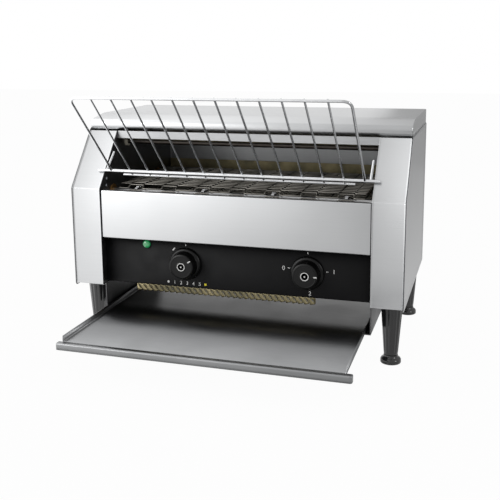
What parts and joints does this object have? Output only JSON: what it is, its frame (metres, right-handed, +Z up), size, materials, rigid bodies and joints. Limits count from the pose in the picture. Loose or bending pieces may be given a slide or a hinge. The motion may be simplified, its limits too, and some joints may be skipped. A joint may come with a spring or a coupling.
{
  "type": "conveyor toaster",
  "caption": "Counter-top conveyor toaster in stainless sheet with a wire loading rack, two control knobs, a pull-out bread tray and screw-adjusted legs.",
  "frame": {"origin": "on the floor plane, under the middle of the overall box", "axes": "+Z up, -Y towards the user at the front, +X to the right seen from the front"},
  "size_m": [0.475, 0.418, 0.3654],
  "materials": {
    "stainless_brushed": "satin brushed",
    "stainless_dull": "dull",
    "dark_steel": "matt, heat darkened",
    "black_panel": "satin black",
    "heat_tinted_steel": "straw and olive heat tint",
    "heater_sheath": "dull oxidised",
    "ceramic": "unglazed",
    "bright_wire": "polished",
    "belt_wire_steel": "heat dulled",
    "shaft_steel": "turned",
    "bronze": "oiled",
    "zinc_steel": "zinc plated",
    "tray_steel": "satin",
    "black_gloss_plastic": "gloss",
    "black_plastic": "matt",
    "spindle_steel": "turned",
    "green_lens": "clear green"
  },
  "bodies": {
    "casing": {"left_side_cover": "stainless_brushed", "right_side_cover": "stainless_brushed", "left_inner_plate": "dark_steel", "right_inner_plate": "dark_steel", "left_base_rail": "dark_steel", "right_base_rail": "dark_steel", "top_cover": "stainless_brushed", "header_strip": "stainless_dull", "rear_crossbar": "stainless_dull", "rear_panel": "stainless_dull", "front_panel": "stainless_brushed", "control_panel": "black_panel", "control_box": "dark_steel", "loading_ramp": "dark_steel", "crumb_guard": "heat_tinted_steel", "upper_heating_elements": "heater_sheath", "upper_ceramic_bushes": "ceramic", "lower_heating_elements": "heater_sheath", "lower_ceramic_bushes": "ceramic", "upper_reflector": "heat_tinted_steel", "lower_reflector": "heat_tinted_steel", "conveyor_belt": "belt_wire_steel", "idler_bushes": "bronze", "drive_bushes": "bronze", "gear_motor": "zinc_steel", "drive_chain": "shaft_steel", "discharge_slide": "heat_tinted_steel", "tray_runners": "dark_steel", "front_left_leg": "black_gloss_plastic", "front_right_leg": "black_gloss_plastic", "rear_left_leg": "black_gloss_plastic", "rear_right_leg": "black_gloss_plastic", "leg_bolts": "zinc_steel", "speed_control": "black_plastic", "selector_switch": "black_plastic", "lamp_lens": "green_lens", "lamp_body": "black_plastic", "fan_housing": "black_plastic", "cable_gland": "black_plastic", "terminal_block": "ceramic", "limit_thermostat": "zinc_steel", "case_fasteners": "zinc_steel"},
    "tray": {"bread_tray": "tray_steel"},
    "rack": {"loading_rack": "bright_wire"},
    "left_knob": {"speed_knob": "black_gloss_plastic", "speed_spindle": "spindle_steel"},
    "right_knob": {"selector_knob": "black_gloss_plastic", "selector_spindle": "spindle_steel"},
    "conveyor_drive": {"drive_shaft": "shaft_steel", "drive_belt_sprockets": "shaft_steel", "driven_sprocket": "shaft_steel"},
    "conveyor_idler": {"idler_shaft": "shaft_steel", "idler_belt_sprockets": "shaft_steel"},
    "motor_output": {"motor_shaft": "shaft_steel", "motor_sprocket": "shaft_steel"},
    "fan_wheel": {"fan_rotor": "black_plastic"},
    "front_left_foot_screw": {"front_left_foot": "black_gloss_plastic"},
    "front_right_foot_screw": {"front_right_foot": "black_gloss_plastic"},
    "rear_left_foot_screw": {"rear_left_foot": "black_gloss_plastic"},
    "rear_right_foot_screw": {"rear_right_foot": "black_gloss_plastic"}
  },
  "joints": [
    {"name": "tray_pull", "type": "slide", "parent": "casing", "child": "tray", "axis": [0, -1, 0], "range_m": [0, 0.2]},
    {"name": "rack_lift_off", "type": "slide", "parent": "casing", "child": "rack", "axis": [0, -0.774, 0.6332], "range_m": [0, 0.05]},
    {"name": "speed_knob_turn", "type": "hinge", "parent": "casing", "child": "left_knob", "pos_m": [-0.07, -0.071, 0.1225], "axis": [0, 1, 0], "range_deg": [-190, 80]},
    {"name": "selector_knob_turn", "type": "hinge", "parent": "casing", "child": "right_knob", "pos_m": [0.107, -0.071, 0.1225], "axis": [0, 1, 0], "range_deg": [-90, 180]},
    {"name": "drive_shaft_spin", "type": "hinge", "parent": "casing", "child": "conveyor_drive", "pos_m": [0, 0.135, 0.217], "axis": [1, 0, 0], "continuous": true},
    {"name": "idler_shaft_spin", "type": "hinge", "parent": "casing", "child": "conveyor_idler", "pos_m": [0, -0.027, 0.217], "axis": [1, 0, 0], "continuous": true},
    {"name": "motor_shaft_spin", "type": "hinge", "parent": "casing", "child": "motor_output", "pos_m": [0.229, 0.079, 0.15], "axis": [1, 0, 0], "continuous": true},
    {"name": "fan_spin", "type": "hinge", "parent": "casing", "child": "fan_wheel", "pos_m": [0.219, 0.189, 0.134], "axis": [0, 1, 0], "continuous": true},
    {"name": "front_left_foot_adjust", "type": "slide", "parent": "casing", "child": "front_left_foot_screw", "axis": [0, 0, -1], "range_m": [0, 0.012]},
    {"name": "front_right_foot_adjust", "type": "slide", "parent": "casing", "child": "front_right_foot_screw", "axis": [0, 0, -1], "range_m": [0, 0.012]},
    {"name": "rear_left_foot_adjust", "type": "slide", "parent": "casing", "child": "rear_left_foot_screw", "axis": [0, 0, -1], "range_m": [0, 0.012]},
    {"name": "rear_right_foot_adjust", "type": "slide", "parent": "casing", "child": "rear_right_foot_screw", "axis": [0, 0, -1], "range_m": [0, 0.012]}
  ],
  "couplings": [
    {"joint": "idler_shaft_spin", "follows": "drive_shaft_spin", "ratio": 1},
    {"joint": "motor_shaft_spin", "follows": "drive_shaft_spin", "ratio": 1.6}
  ]
}
